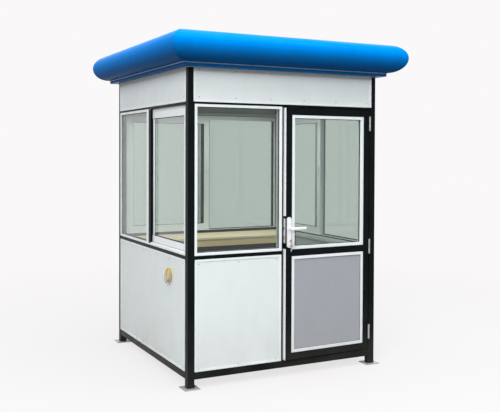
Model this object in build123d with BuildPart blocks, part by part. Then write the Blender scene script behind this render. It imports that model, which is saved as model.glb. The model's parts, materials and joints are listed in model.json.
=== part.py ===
"""Security guard booth: a welded steel-tube cabin with white sandwich panels, windows on
every side, one glazed door and a rounded roof cap.

Millimetres. The origin is on the ground at the middle of the booth, +Z is up and the door
wall faces -Y. Each wall is drawn on its own plane: local x runs along the wall, local y is
the height and the plane's normal points out of the booth.
"""

import os
from math import cos, radians, sin

from build123d import *

os.makedirs("parts", exist_ok=True)

# ---- frame -----------------------------------------------------------------------------
plan = 1500.0  # over the outer faces of the steel frame, both ways
half = plan / 2
tube = 50.0  # square tube of posts and rails
tube_wall = 2.5
tube_radius = 4.0
inner = half - tube  # from the middle to the inner faces of the posts

plate_side = 110.0  # base plates under the posts
plate_thick = 6.0
anchor_spacing = 80.0
anchor_radius = 6.5

bottom_rail_low = 61.0
bottom_rail_top = bottom_rail_low + tube
sill_low = 847.0
sill_top = sill_low + tube
head_low = 1890.0
head_height = 30.0
head_top = head_low + head_height
frame_top = 2137.0

jamb_width = 25.0  # slimmer tube between the front window and the door
jamb_left = -56.0
jamb_right = jamb_left + jamb_width
mullion = 50.0  # shallow middle post of the three window walls
mullion_depth = 17.0

# ---- infill ----------------------------------------------------------------------------
panel_thick = 42.0
trim_width = 15.0
trim_proud = 3.0
lap = 12.0  # how far a trim or a window flange covers the steel beside it
fascia_lap = 13.0
post_lap = 3.0
head_lap = 2.0
jamb_lap = 13.0  # the front window's flange on the jamb
panel_jamb_lap = 11.0
mullion_lap = 7.0

floor_thick = 18.0
ceiling_thick = 20.0
deck_thick = 25.0
deck_overhang = 57.0
deck_top = frame_top + deck_thick

# ---- windows ---------------------------------------------------------------------------
flange = 18.0  # visible width of the fixed aluminium frame
window_depth = 45.0
glass_thick = 5.0
glass_setback = 12.0
meeting_stile = 42.0  # wide stile of the fixed light beside the mullion
meeting_depth = 12.0
fixed_glass_setback = 6.0
sash_setback = 18.0  # the sliding sash stands this far behind the steel face
recess = 15.0  # step of the aluminium frame on the sliding side
sash_depth = 22.0
sash_stile = 48.0
sash_top_rail = 54.0
sash_bottom_rail = 53.0
track_lip = 22.0  # inner lip of the top track, in front of the sash's top rail
track_lip_thick = 5.0
latch_height = 1447.0  # crescent latch on the inner face of the sash
latch_wide = 16.0
latch_tall = 76.0
latch_thick = 5.0
latch_arm = 44.0
latch_arm_thick = 7.0

# ---- roof cap --------------------------------------------------------------------------
eave_reach = 172.0  # from the frame's face to the widest point of the cap
eave_rise = 106.0  # from the deck up to the widest point
crown_rise = 98.0  # from the widest point up to the crown line
eave_depth = 112.0  # how far the rounded edge reaches in
ridge_rise = 22.0  # shallow fall to shed rain

# ---- desk ------------------------------------------------------------------------------
desk_depth = 370.0
desk_nosing = 10.0  # the board's front edge ahead of the apron
desk_top_height = 875.0
desk_thick = 20.0
apron_height = 55.0
apron_thick = 18.0

# ---- door ------------------------------------------------------------------------------
door_ajar = 1.9  # degrees; the leaf stands a little open at rest
leaf_gap = 5.0  # above and below the leaf
lock_gap = 8.0  # from the jamb to the steel of the leaf, where its back corner swings by
hinge_gap = 6.0
leaf_left = jamb_right + lock_gap
leaf_right = inner - hinge_gap
leaf_low = bottom_rail_top + leaf_gap
leaf_top = head_low - leaf_gap
leaf_thick = 38.0
stile = 50.0
mid_rail_low = 844.0
mid_rail_top = mid_rail_low + stile
skin_setback = 4.0  # lower panel's skins behind the faces of the leaf
bead_width = 21.0
bead_proud = 2.0
knuckle_radius = 7.0
hinge_x = inner - hinge_gap / 2
hinge_y = -half - knuckle_radius
pin_radius = 3.5
pin_bore = 3.6
knuckle_length = 52.0
knuckle_gap = 1.0  # between the two halves of a lift-off hinge
pin_clearance = 2.0  # from the pin's end to the end of its bore
hinge_cover = 3.0  # closed top of the upper knuckle
hinge_heights = (245.0, 880.0, 1787.0)
hinge_flap_thick = 2.0
hinge_flap_reach = 30.0

lock_x = leaf_left + stile / 2
lever_height = 1043.0
keyhole_height = 956.0
escutcheon_low = 907.0
escutcheon_top = 1121.0
escutcheon_width = 35.0
escutcheon_thick = 8.0
faceplate_low = 939.0
faceplate_top = 1110.0
faceplate_width = 22.0
faceplate_thick = 2.0
strip_cut_low = 897.0
strip_cut_top = 1129.0
strip_thick = 1.5
stop_thick = 6.0
stop_reach = 10.0
spindle_radius = 4.0
spindle_hole = 6.0
lever_standoff = 44.0
lever_length = 112.0
lever_tall = 19.0
lever_thick = 12.0
lever_rounding = 5.0
lever_bend = 14.0
collar_radius = 12.0
collar_length = 7.0
lever_gap = 0.5  # running clearance between a lock plate and the lever's collar
cylinder_radius = 8.5  # profile cylinder of the lock
cylinder_foot_width = 10.0
cylinder_foot = 22.0
cylinder_proud = 3.0
bow_radius = 11.0
bow_hole = 3.0
bow_hole_offset = 6.5  # from the middle of the bow
blade_width = 8.0
blade_length = 30.0
blade_shown = 6.0
key_thick = 2.4
ring_radius = 11.0
ring_wire = 1.2
bite = 0.2  # how far the hanging keys and their ring press into each other

# ---- cable -----------------------------------------------------------------------------
gland_y = -431.0
gland_z = 759.0
gland_radius = 9.0
gland_length = 4.0
coil_section = 10.0  # radius of the bundle of turns
coil_bend = 31.0  # its middle line is a slot with these round ends
coil_straight = 24.0

# ---- planes ----------------------------------------------------------------------------
front_wall = Plane(origin=(0, -half, 0), x_dir=(1, 0, 0), z_dir=(0, -1, 0))
left_wall = Plane(origin=(-half, 0, 0), x_dir=(0, -1, 0), z_dir=(-1, 0, 0))
right_wall = Plane(origin=(half, 0, 0), x_dir=(0, 1, 0), z_dir=(1, 0, 0))
back_wall = Plane(origin=(0, half, 0), x_dir=(-1, 0, 0), z_dir=(0, 1, 0))

turn = radians(door_ajar)
leaf_along = (cos(turn), sin(turn), 0)
leaf_out = (sin(turn), -cos(turn), 0)
# Local x is measured from the hinge pin along the leaf, so everything on the leaf is at a
# negative x. Local z = 0 is the plane through the pin.
leaf_plane = Plane(origin=(hinge_x, hinge_y, 0), x_dir=leaf_along, z_dir=leaf_out)
leaf_face = leaf_plane.offset(half + hinge_y)  # front face of the leaf


def save(part, name):
    """Label one finished sub-part and write it."""
    part.label = name
    export_step(part, "parts/" + name + ".step")


def rectangle(x_low, x_high, y_low, y_high, mode=Mode.ADD):
    """A rectangle between four coordinates of the current sketch."""
    with Locations(((x_low + x_high) / 2, (y_low + y_high) / 2)):
        Rectangle(x_high - x_low, y_high - y_low, mode=mode)


def slab(plane, box, start, depth, mode=Mode.ADD):
    """Extrude a rectangle (x low, x high, y low, y high) of a wall inwards.

    start is the height of its outer side over the wall's face and depth its thickness.
    """
    with BuildSketch(plane.offset(start)) as outline:
        rectangle(*box)
    extrude(outline.sketch, amount=-depth, mode=mode)


def ring(plane, outside, inside, start, depth):
    """Extrude the frame between two rectangles of a wall inwards."""
    with BuildSketch(plane.offset(start)) as outline:
        rectangle(*outside)
        rectangle(*inside, mode=Mode.SUBTRACT)
    extrude(outline.sketch, amount=-depth)


def grown(box, left, right, low, top):
    """A rectangle moved out by a distance on each side."""
    return (box[0] - left, box[1] + right, box[2] - low, box[3] + top)


# ---- steel frame -----------------------------------------------------------------------
corners = {
    "front_left": (-1, -1),
    "front_right": (1, -1),
    "back_left": (-1, 1),
    "back_right": (1, 1),
}
post_middle = half - tube / 2



def square_tube(section, width, height, length):
    """A hollow tube extruded from a section plane and open at both ends."""
    with BuildSketch(section) as outline:
        RectangleRounded(width, height, tube_radius)
        RectangleRounded(
            width - 2 * tube_wall,
            height - 2 * tube_wall,
            tube_radius - tube_wall,
            mode=Mode.SUBTRACT,
        )
    extrude(outline.sketch, amount=length)


def rail(wall, x_low, x_high, z_low, height=tube):
    """A tube lying in a wall."""
    start = wall.from_local_coords((x_low, z_low + height / 2, -tube / 2))
    section = Plane(origin=start, x_dir=wall.z_dir, z_dir=wall.x_dir)
    square_tube(section, tube, height, x_high - x_low)


def upright(wall, x_low, width, z_low, z_high, depth=tube):
    """A tube standing in a wall."""
    start = wall.from_local_coords((x_low + width / 2, z_low, -depth / 2))
    section = Plane(origin=start, x_dir=wall.x_dir, z_dir=(0, 0, 1))
    square_tube(section, width, depth, z_high - z_low)


for corner, (side_x, side_y) in corners.items():
    foot = Plane(origin=(side_x * post_middle, side_y * post_middle, plate_thick))
    with BuildPart() as post:
        square_tube(foot, tube, tube, frame_top - plate_thick)
    save(post.part, "post_" + corner)

with BuildPart() as base_plates:
    with BuildSketch():
        with GridLocations(2 * post_middle, 2 * post_middle, 2, 2):
            Rectangle(plate_side, plate_side)
            with GridLocations(anchor_spacing, anchor_spacing, 2, 2):
                Circle(anchor_radius, mode=Mode.SUBTRACT)
    extrude(amount=plate_thick)
save(base_plates.part, "base_plates")

full_walls = (front_wall, left_wall, right_wall, back_wall)
window_walls = {"left": left_wall, "right": right_wall, "back": back_wall}

with BuildPart() as bottom_rails:
    for wall in full_walls:
        rail(wall, -inner, inner, bottom_rail_low)
save(bottom_rails.part, "bottom_rails")

with BuildPart() as sill_rails:
    rail(front_wall, -inner, jamb_left, sill_low)
    for wall in window_walls.values():
        rail(wall, -inner, inner, sill_low)
save(sill_rails.part, "sill_rails")

with BuildPart() as head_rails:
    for wall in full_walls:
        rail(wall, -inner, inner, head_low, head_height)
save(head_rails.part, "head_rails")

with BuildPart() as door_jamb:
    upright(front_wall, jamb_left, jamb_width, bottom_rail_top, head_low)
save(door_jamb.part, "door_jamb")

with BuildPart() as window_mullions:
    for wall in window_walls.values():
        upright(wall, -mullion / 2, mullion, sill_top, head_low, mullion_depth)
save(window_mullions.part, "window_mullions")

# ---- floor, ceiling and roof -----------------------------------------------------------
with BuildPart() as floor_panel:
    with BuildSketch(Plane.XY.offset(bottom_rail_top - floor_thick)):
        Rectangle(2 * inner, 2 * inner)
    extrude(amount=floor_thick)
save(floor_panel.part, "floor_panel")

with BuildPart() as ceiling_panel:
    with BuildSketch(Plane.XY.offset(frame_top - ceiling_thick)):
        Rectangle(2 * inner, 2 * inner)
    extrude(amount=ceiling_thick)
save(ceiling_panel.part, "ceiling_panel")

with BuildPart() as roof_deck:
    with BuildSketch(Plane.XY.offset(frame_top)):
        Rectangle(plan + 2 * deck_overhang, plan + 2 * deck_overhang)
    extrude(amount=deck_thick)
save(roof_deck.part, "roof_deck")


def cap_profile(plane):
    """Section of the roof cap: flat underside, rounded eaves and a shallow ridge."""
    widest = half + eave_reach
    shoulder = widest - eave_depth
    belly = deck_top + eave_rise
    crown = belly + crown_rise
    with BuildSketch(plane) as section:
        with BuildLine():
            Line((-shoulder, deck_top), (shoulder, deck_top))
            EllipticalCenterArc(
                (shoulder, belly), eave_depth, eave_rise, start_angle=270, arc_size=90
            )
            EllipticalCenterArc(
                (shoulder, belly), eave_depth, crown_rise, start_angle=0, arc_size=90
            )
            Line((shoulder, crown), (0, crown + ridge_rise))
            Line((0, crown + ridge_rise), (-shoulder, crown))
            EllipticalCenterArc(
                (-shoulder, belly), eave_depth, crown_rise, start_angle=90, arc_size=90
            )
            EllipticalCenterArc(
                (-shoulder, belly), eave_depth, eave_rise, start_angle=180, arc_size=90
            )
        make_face()
    return section.sketch


# Two long runs of the same section cross at right angles, and what they share is the cap,
# with its mitred corners.
with BuildPart() as roof_cap:
    cap_length = 2 * plan
    first_end = -cap_length / 2
    extrude(cap_profile(Plane.XZ.offset(first_end)), amount=cap_length)
    crossing = cap_profile(Plane.YZ.offset(first_end))
    extrude(crossing, amount=cap_length, mode=Mode.INTERSECT)
save(roof_cap.part, "roof_cap")


# ---- wall panels -----------------------------------------------------------------------
panel_bays = {
    "lower_panel_front": (
        front_wall,
        (-inner, jamb_left, bottom_rail_top, sill_low),
        (0, panel_jamb_lap, 0, lap),
    )
}
for side, wall in window_walls.items():
    lower_bay = (-inner, inner, bottom_rail_top, sill_low)
    panel_bays["lower_panel_" + side] = (wall, lower_bay, (0, 0, 0, lap))
for side, wall in {"front": front_wall, **window_walls}.items():
    fascia_bay = (-inner, inner, head_top, frame_top)
    panel_bays["fascia_" + side] = (wall, fascia_bay, (lap, lap, fascia_lap, 0))

# Each sandwich panel fills one opening of the steel frame, flush with its face.
for name, (wall, bay, laps) in panel_bays.items():
    with BuildPart() as panel:
        slab(wall, bay, 0, panel_thick)
    save(panel.part, name)

# A flat strip frames each panel and laps over the steel beside it.
with BuildPart() as panel_trims:
    for wall, bay, laps in panel_bays.values():
        trim_outside = grown(bay, *laps)
        trim_inside = grown(trim_outside, *(4 * (-trim_width,)))
        ring(wall, trim_outside, trim_inside, trim_proud, trim_proud)
save(panel_trims.part, "panel_trims")

# ---- front window ----------------------------------------------------------------------
front_opening = (-inner, jamb_left, sill_top, head_low)
front_flange = grown(front_opening, post_lap, jamb_lap, lap, head_lap)
front_light = grown(front_flange, *(4 * (-flange,)))

with BuildPart() as front_window_frame:
    ring(front_wall, front_flange, front_light, trim_proud, trim_proud)
    ring(front_wall, front_opening, front_light, 0, window_depth)
save(front_window_frame.part, "front_window_frame")

with BuildPart() as front_window_glass:
    slab(front_wall, front_light, -glass_setback, glass_thick)
save(front_window_glass.part, "front_window_glass")

# ---- sliding windows -------------------------------------------------------------------
# Seen from outside, the right half of each window slides. Its sash runs in the frame's
# track behind the mullion, and its meeting stile stands beyond the middle of the wall.
# On that side the frame steps back, apart from the sill, so the mullion's side is seen.
window_opening = (-inner, inner, sill_top, head_low)
window_flange = grown(window_opening, post_lap, post_lap, lap, head_lap)
window_light = grown(window_flange, *(4 * (-flange,)))
mullion_box = (-mullion / 2, mullion / 2, sill_top, head_low)
stile_edge = -mullion / 2 + mullion_lap
stile_face = (stile_edge - meeting_stile, stile_edge, sill_top, head_low)
stile_body = (stile_face[0], mullion_box[0], sill_top, head_low)
lip_box = (*window_light[:2], window_light[3] - track_lip, window_light[3])
recess_box = (mullion / 2, window_flange[1], window_light[2], window_flange[3])
fixed_light = (window_light[0], stile_face[0], *window_light[2:])
sash_box = (-sash_stile, *window_light[1:])
sash_light = grown(
    sash_box, -sash_stile, -sash_stile, -sash_bottom_rail, -sash_top_rail
)

for name, wall in window_walls.items():
    with BuildPart() as window_frame:
        ring(wall, window_flange, window_light, trim_proud, trim_proud)
        ring(wall, window_opening, window_light, 0, window_depth)
        slab(wall, mullion_box, trim_proud, trim_proud + mullion_depth, Mode.SUBTRACT)
        slab(wall, recess_box, trim_proud, trim_proud + recess, Mode.SUBTRACT)
        slab(wall, stile_face, trim_proud, trim_proud)
        slab(wall, stile_body, 0, meeting_depth)
        slab(wall, lip_box, track_lip_thick - window_depth, track_lip_thick)
    save(window_frame.part, name + "_window_frame")

    with BuildPart() as sliding_sash:
        ring(wall, sash_box, sash_light, -sash_setback, sash_depth)
    save(sliding_sash.part, name + "_sliding_sash")

    with BuildPart() as window_glass:
        slab(wall, fixed_light, -fixed_glass_setback, glass_thick)
        slab(wall, sash_light, -sash_setback - sash_depth / 2, glass_thick)
    save(window_glass.part, name + "_window_glass")

with BuildPart() as window_latches:
    for wall in window_walls.values():
        inside = wall.offset(-sash_setback - sash_depth)
        with BuildSketch(inside):
            with Locations((-sash_stile / 2, latch_height)):
                RectangleRounded(latch_wide, latch_tall, latch_wide / 3)
        extrude(amount=-latch_thick)
        with BuildSketch(inside.offset(-latch_thick)):
            with Locations((-sash_stile / 2, latch_height - latch_arm / 4)):
                SlotOverall(latch_arm, latch_wide - latch_thick, rotation=90)
        extrude(amount=-latch_arm_thick)
save(window_latches.part, "window_latches")

# ---- desk ------------------------------------------------------------------------------
desk_front = inner - desk_depth

with BuildPart() as desk_top:
    with BuildSketch(Plane.XY.offset(desk_top_height - desk_thick)):
        rectangle(-inner, inner, desk_front, inner)
    extrude(amount=desk_thick)
    front_edges = desk_top.edges().filter_by(Axis.X).group_by(Axis.Y)[0]
    fillet(front_edges, radius=desk_thick / 5)
save(desk_top.part, "desk_top")

with BuildPart() as desk_apron:
    apron_top = desk_top_height - desk_thick
    apron_front = desk_front + desk_nosing
    with BuildSketch(Plane.XY.offset(apron_top - apron_height)):
        rectangle(-inner, inner, apron_front, inner)
        rectangle(
            -inner + apron_thick,
            inner - apron_thick,
            apron_front + apron_thick,
            inner,
            mode=Mode.SUBTRACT,
        )
    extrude(amount=apron_height)
save(desk_apron.part, "desk_apron")

# ---- door stop -------------------------------------------------------------------------
with BuildPart() as door_stop:
    doorway = (jamb_right, inner, bottom_rail_top, head_low)
    stop_light = grown(doorway, -stop_reach, -stop_reach, 0, -stop_reach)
    ring(front_wall, doorway, stop_light, stop_thick - tube, stop_thick)
save(door_stop.part, "door_stop")

# ---- door leaf -------------------------------------------------------------------------
leaf_box = (leaf_left - hinge_x, leaf_right - hinge_x, leaf_low, leaf_top)
glass_hole = (leaf_box[0] + stile, leaf_box[1] - stile, mid_rail_top, leaf_top - stile)
panel_hole = (leaf_box[0] + stile, leaf_box[1] - stile, leaf_low + stile, mid_rail_low)
lock_local = lock_x - hinge_x
bead_depth = leaf_thick + 2 * bead_proud

with BuildPart() as door_leaf_frame:
    with BuildSketch(leaf_face):
        rectangle(*leaf_box)
        rectangle(*glass_hole, mode=Mode.SUBTRACT)
        rectangle(*panel_hole, mode=Mode.SUBTRACT)
        with Locations((lock_local, lever_height)):
            Circle(spindle_hole, mode=Mode.SUBTRACT)
    extrude(amount=-leaf_thick)
    pocket = (
        leaf_box[0],
        leaf_box[0] + faceplate_thick,
        faceplate_low,
        faceplate_top,
    )
    pocket_setback = -(leaf_thick - faceplate_width) / 2
    slab(leaf_face, pocket, pocket_setback, faceplate_width, mode=Mode.SUBTRACT)
save(door_leaf_frame.part, "door_leaf_frame")

with BuildPart() as door_beads:
    for hole in (glass_hole, panel_hole):
        hole_light = grown(hole, *(4 * (-bead_width,)))
        ring(leaf_face, hole, hole_light, bead_proud, bead_depth)
save(door_beads.part, "door_beads")

with BuildPart() as door_glass:
    glass_box = grown(glass_hole, *(4 * (-bead_width,)))
    slab(leaf_face, glass_box, -(leaf_thick - glass_thick) / 2, glass_thick)
save(door_glass.part, "door_glass")

with BuildPart() as door_lower_panel:
    panel_box = grown(panel_hole, *(4 * (-bead_width,)))
    slab(leaf_face, panel_box, -skin_setback, leaf_thick - 2 * skin_setback)
save(door_lower_panel.part, "door_lower_panel")

with BuildPart() as door_edge_strip:
    strip_x = (leaf_box[0] - strip_thick, leaf_box[0])
    slab(leaf_face, (*strip_x, leaf_low, strip_cut_low), 0, leaf_thick)
    slab(leaf_face, (*strip_x, strip_cut_top, leaf_top), 0, leaf_thick)
save(door_edge_strip.part, "door_edge_strip")

# ---- lock, lever and keys --------------------------------------------------------------
escutcheon_middle = (escutcheon_low + escutcheon_top) / 2
escutcheon_height = escutcheon_top - escutcheon_low


def escutcheon(plane, direction):
    """A long lock plate with rounded ends, a spindle hole and the lock's cylinder."""
    with BuildSketch(plane) as outline:
        with Locations((lock_local, escutcheon_middle)):
            RectangleRounded(
                escutcheon_width, escutcheon_height, escutcheon_width / 2 - 1
            )
        with Locations((lock_local, lever_height)):
            Circle(spindle_hole, mode=Mode.SUBTRACT)
    extrude(outline.sketch, amount=direction * escutcheon_thick)
    with BuildSketch(plane) as cylinder:
        with Locations((lock_local, keyhole_height)):
            Circle(cylinder_radius)
        with Locations((lock_local, keyhole_height - cylinder_foot / 2)):
            SlotOverall(cylinder_foot, cylinder_foot_width, rotation=90)
    extrude(cylinder.sketch, amount=direction * (escutcheon_thick + cylinder_proud))


with BuildPart() as door_lock:
    escutcheon(leaf_face, 1)
    escutcheon(leaf_face.offset(-leaf_thick), -1)
    slab(leaf_face, pocket, pocket_setback, faceplate_width)
save(door_lock.part, "door_lock")


def lever(plane, direction):
    """Collar and bent arm of one lever, standing off a lock plate."""
    with BuildSketch(plane) as collar:
        with Locations((lock_local, lever_height)):
            Circle(collar_radius)
    extrude(collar.sketch, amount=direction * collar_length)
    arm_level = direction * (lever_standoff - lever_thick / 2)
    with BuildLine(plane) as route:
        FilletPolyline(
            (lock_local, lever_height, 0),
            (lock_local, lever_height, arm_level),
            (lock_local + lever_length, lever_height, arm_level),
            radius=lever_bend,
        )
    foot = plane.from_local_coords((lock_local, lever_height, 0))
    with BuildSketch(Plane(origin=foot, x_dir=leaf_along, z_dir=route.line % 0)) as section:
        RectangleRounded(lever_thick, lever_tall, lever_rounding)
    sweep(section.sketch, path=route.line)


plate_out = escutcheon_thick + lever_gap
plate_in = -leaf_thick - plate_out

with BuildPart() as lever_handle:
    with BuildSketch(leaf_face.offset(plate_out)):
        with Locations((lock_local, lever_height)):
            Circle(spindle_radius)
    extrude(amount=plate_in - plate_out)
    lever(leaf_face.offset(plate_out), 1)
    lever(leaf_face.offset(plate_in), -1)
save(lever_handle.part, "lever_handle")


# ---- keys ------------------------------------------------------------------------------
def key(plane, blade):
    """A flat key: its ring hole is at the plane's origin and its blade points along -x."""
    blade_start = bow_hole_offset + bow_radius - 1
    with BuildSketch(plane) as outline:
        with Locations((-bow_hole_offset, 0)):
            Circle(bow_radius)
        rectangle(-blade_start - blade, -blade_start, -blade_width / 2, blade_width / 2)
        Circle(bow_hole, mode=Mode.SUBTRACT)
    extrude(outline.sketch, amount=key_thick / 2, both=True)


hang = bow_hole - ring_wire + bite  # from a hole's middle to the ring's wire in it
key_reach = blade_shown + bow_hole_offset + bow_radius - 1
hole_out = escutcheon_thick + cylinder_proud + key_reach
ring_out = (sin(turn + radians(45)), -cos(turn + radians(45)), 0)

with BuildPart() as door_keys:
    first_hole = leaf_face.from_local_coords((lock_local, keyhole_height, hole_out))
    key(Plane(origin=first_hole, x_dir=leaf_out, z_dir=leaf_along), blade_shown)
    ring_middle = first_hole - Vector(0, 0, hang + ring_radius)
    with Locations(Plane(origin=ring_middle, z_dir=ring_out)):
        Torus(ring_radius, ring_wire)
    second_hole = ring_middle - Vector(0, 0, ring_radius + hang)
    across_ring = Vector(*ring_out).cross(Vector(0, 0, 1))
    key(Plane(origin=second_hole, x_dir=(0, 0, 1), z_dir=across_ring), blade_length)
save(door_keys.part, "door_keys")


# ---- hinges ----------------------------------------------------------------------------
def knuckle(low, radius, length, mode=Mode.ADD):
    """A vertical cylinder on the hinge axis."""
    with BuildSketch(Plane.XY.offset(low)) as outline:
        with Locations((hinge_x, hinge_y)):
            Circle(radius)
    extrude(outline.sketch, amount=length, mode=mode)


half_length = knuckle_length - knuckle_gap / 2

with BuildPart() as hinges_frame_side:
    for height in hinge_heights:
        low = height - knuckle_length
        knuckle(low, knuckle_radius, half_length)
        knuckle(low, pin_radius, 2 * knuckle_length - pin_clearance - hinge_cover)
        with BuildSketch(Plane.XY.offset(low)):
            rectangle(
                inner - hinge_flap_thick, inner, hinge_y, -half + hinge_flap_reach
            )
        extrude(amount=half_length)
save(hinges_frame_side.part, "hinges_frame_side")

with BuildPart() as hinges_door_side:
    for height in hinge_heights:
        top = height + knuckle_length
        low = top - half_length
        knuckle(low, knuckle_radius, half_length)
        flap_box = (leaf_box[1], leaf_box[1] + hinge_flap_thick, low, top)
        slab(leaf_plane, flap_box, 0, hinge_flap_reach + knuckle_radius)
        knuckle(low, pin_bore, half_length - hinge_cover, mode=Mode.SUBTRACT)
save(hinges_door_side.part, "hinges_door_side")

# ---- cable -----------------------------------------------------------------------------
gland_face = -half - gland_length
with BuildPart() as cable_gland:
    with BuildSketch(left_wall):
        with Locations((-gland_y, gland_z)):
            Circle(gland_radius)
    extrude(amount=gland_length)
save(cable_gland.part, "cable_gland")

with BuildPart() as cable_coil:
    coil_middle = gland_z + gland_radius - coil_section - coil_bend - coil_straight / 2
    coil_plane = Plane(
        origin=(gland_face - coil_section, gland_y, coil_middle),
        x_dir=(0, 0, 1),
        z_dir=(-1, 0, 0),
    )
    with BuildLine(coil_plane) as coil_line:
        first_side = Line(
            (-coil_straight / 2, coil_bend), (coil_straight / 2, coil_bend)
        )
        top_bend = TangentArc(
            first_side @ 1, (coil_straight / 2, -coil_bend), tangent=first_side % 1
        )
        second_side = Line(top_bend @ 1, (-coil_straight / 2, -coil_bend))
        TangentArc(second_side @ 1, first_side @ 0, tangent=second_side % 1)
    with BuildSketch(Plane(origin=coil_line.line @ 0, z_dir=coil_line.line % 0)):
        Circle(coil_section)
    sweep(path=coil_line.line)
save(cable_coil.part, "cable_coil")
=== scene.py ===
"""Looks of the security guard booth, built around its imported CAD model.

Metres, +Z up. The door wall faces -Y and the origin is on the ground at the middle.
"""

import json
from math import cos, exp, pi, radians, sin, tau

import bmesh
import bpy
from mathutils import Matrix, Vector


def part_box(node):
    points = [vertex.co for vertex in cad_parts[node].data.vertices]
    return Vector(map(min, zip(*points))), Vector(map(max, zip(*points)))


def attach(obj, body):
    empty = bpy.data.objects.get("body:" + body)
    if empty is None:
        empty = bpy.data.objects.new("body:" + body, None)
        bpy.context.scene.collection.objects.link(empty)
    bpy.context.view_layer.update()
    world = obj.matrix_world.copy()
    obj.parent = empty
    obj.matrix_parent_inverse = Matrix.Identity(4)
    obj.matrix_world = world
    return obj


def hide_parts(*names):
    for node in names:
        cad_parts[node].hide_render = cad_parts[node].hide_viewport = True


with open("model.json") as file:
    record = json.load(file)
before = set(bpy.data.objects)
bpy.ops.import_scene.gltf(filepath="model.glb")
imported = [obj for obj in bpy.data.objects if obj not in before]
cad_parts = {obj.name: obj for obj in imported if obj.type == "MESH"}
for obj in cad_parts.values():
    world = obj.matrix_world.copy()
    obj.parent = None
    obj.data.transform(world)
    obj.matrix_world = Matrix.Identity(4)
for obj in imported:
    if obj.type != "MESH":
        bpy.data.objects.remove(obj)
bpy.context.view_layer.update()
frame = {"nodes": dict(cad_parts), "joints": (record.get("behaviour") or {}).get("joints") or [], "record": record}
nodes = frame["nodes"]
joints = {joint["name"]: joint for joint in frame["joints"]}

MM = 0.001
post_low, post_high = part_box("post_front_left")
HALF = -post_low[0]  # from the booth's middle to the steel's outer face
TUBE = round(post_high[0] - post_low[0], 6)  # width of the frame's square tube


def linear(red, green, blue):
    """Scene-linear colour with alpha from a display colour of 0 to 255."""
    shades = [value / 255 for value in (red, green, blue)]
    dark = 0.04045  # up to here the display curve is a straight line
    return (*[v / 12.92 if v <= dark else ((v + 0.055) / 1.055) ** 2.4 for v in shades], 1)


def link(name, data):
    """A new object with that data, in the scene."""
    made = bpy.data.objects.new(name, data)
    bpy.context.scene.collection.objects.link(made)
    return made


# ---- camera ----------------------------------------------------------------------------
def make_camera():
    """The view from the left of the door wall, at eye height."""
    data = bpy.data.cameras.new("camera")
    data.sensor_width = 36
    data.lens = 56.15
    data.shift_y = -0.0756
    data.clip_end = 200
    camera = link("camera", data)
    place = (-2.7058, -5.5069, 1.5702)
    yaw, pitch, roll = 0.4694, -0.0198, 0.0036
    camera.matrix_world = (
        Matrix.Translation(place)
        @ Matrix.Rotation(-yaw, 4, "Z")
        @ Matrix.Rotation(pi / 2 + pitch, 4, "X")
        @ Matrix.Rotation(roll, 4, "Z")
    )
    bpy.context.scene.camera = camera


make_camera()

# ---- supply cable ----------------------------------------------------------------------
CABLE = 5.5 * MM
GLAND = Vector((-0.754, -0.431, 0.759))  # middle of the gland's outer face
TURN_STEPS = 14  # points to a turn
COIL_STEPS = 34  # points in all the turns
COIL_START = 1.45  # radians from the top of a turn, where the lead joins the coil


def cable_route():
    """Out of the gland, over to one side, down, and then round in loose turns.

    Lengths are in millimetres from the gland or from the coil's middle: x is negative
    away from the wall, y runs along it and z is up.
    """
    lead = (
        (0, 0, 0),
        (-4.4, 0, 0),
        (-11.0, -3.0, 0),
        (-15.4, -8.6, -1.4),
        (-17.1, -15.6, -4.8),
        (-17.5, -22.2, -10.8),
        (-17.2, -27.2, -19.0),
    )
    tail = ((0.1, 31.0, -79.5), (-0.1, 36.8, -85.8))
    route = [GLAND + Vector(place) * MM for place in lead]
    middle = GLAND + Vector((-17.1, 0, -42.5)) * MM
    for step in range(COIL_STEPS):
        turn = step / TURN_STEPS
        angle = COIL_START + tau * turn
        hang = 0.5 - 0.5 * cos(angle)  # 0 at the top of a turn and 1 at its foot
        short = exp(-(((turn - 1.27) / 0.35) ** 2))  # 1 where a turn hangs the shortest
        half_wide = 36.5 + 5 * sin(angle) + 1.2 * sin(1.3 * turn + 0.4)
        half_tall = 50 - (1.2 * turn + 10 * short) * hang
        around = (
            6.4 * turn - 2 * (1 - sin(angle)) - (13.5 - 5.5 * turn) * hang,
            -half_wide * sin(angle) * (1 - 0.06 * cos(angle)),
            half_tall * cos(angle),
        )
        route.append(middle + Vector(around) * MM)
    last = route[-1].x
    for out, along, up in tail:
        route.append(Vector((last + out * MM, GLAND.y + along * MM, GLAND.z + up * MM)))
    return route


def make_cable():
    """The cable as one smooth spline with its route as control points.

    The bevel is 1 deep and the points' radius is the cable's, so that the curve's own
    box is true to size.
    """
    data = bpy.data.curves.new("supply_cable", "CURVE")
    data.dimensions = "3D"
    data.resolution_u = 6
    route = cable_route()
    spline = data.splines.new("NURBS")
    spline.points.add(len(route) - 1)
    for point, place in zip(spline.points, route):
        point.co = (*place, 1)
        point.radius = CABLE / 2
    spline.order_u = 3
    spline.use_endpoint_u = True
    data.bevel_depth = 1
    data.bevel_resolution = 4
    data.use_fill_caps = True
    return link("supply_cable", data)


supply_cable = make_cable()
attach(supply_cable, "cabin")
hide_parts("cable_coil")


# ---- material nodes --------------------------------------------------------------------
def node(tree, kind, inputs=None, **settings):
    """A new node. An input is a plain value or a socket of another node."""
    made = tree.nodes.new(kind)
    for key, value in settings.items():
        setattr(made, key, value)
    for key, value in (inputs or {}).items():
        if isinstance(value, bpy.types.NodeSocket):
            tree.links.new(value, made.inputs[key])
        else:
            made.inputs[key].default_value = value
    return made


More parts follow.
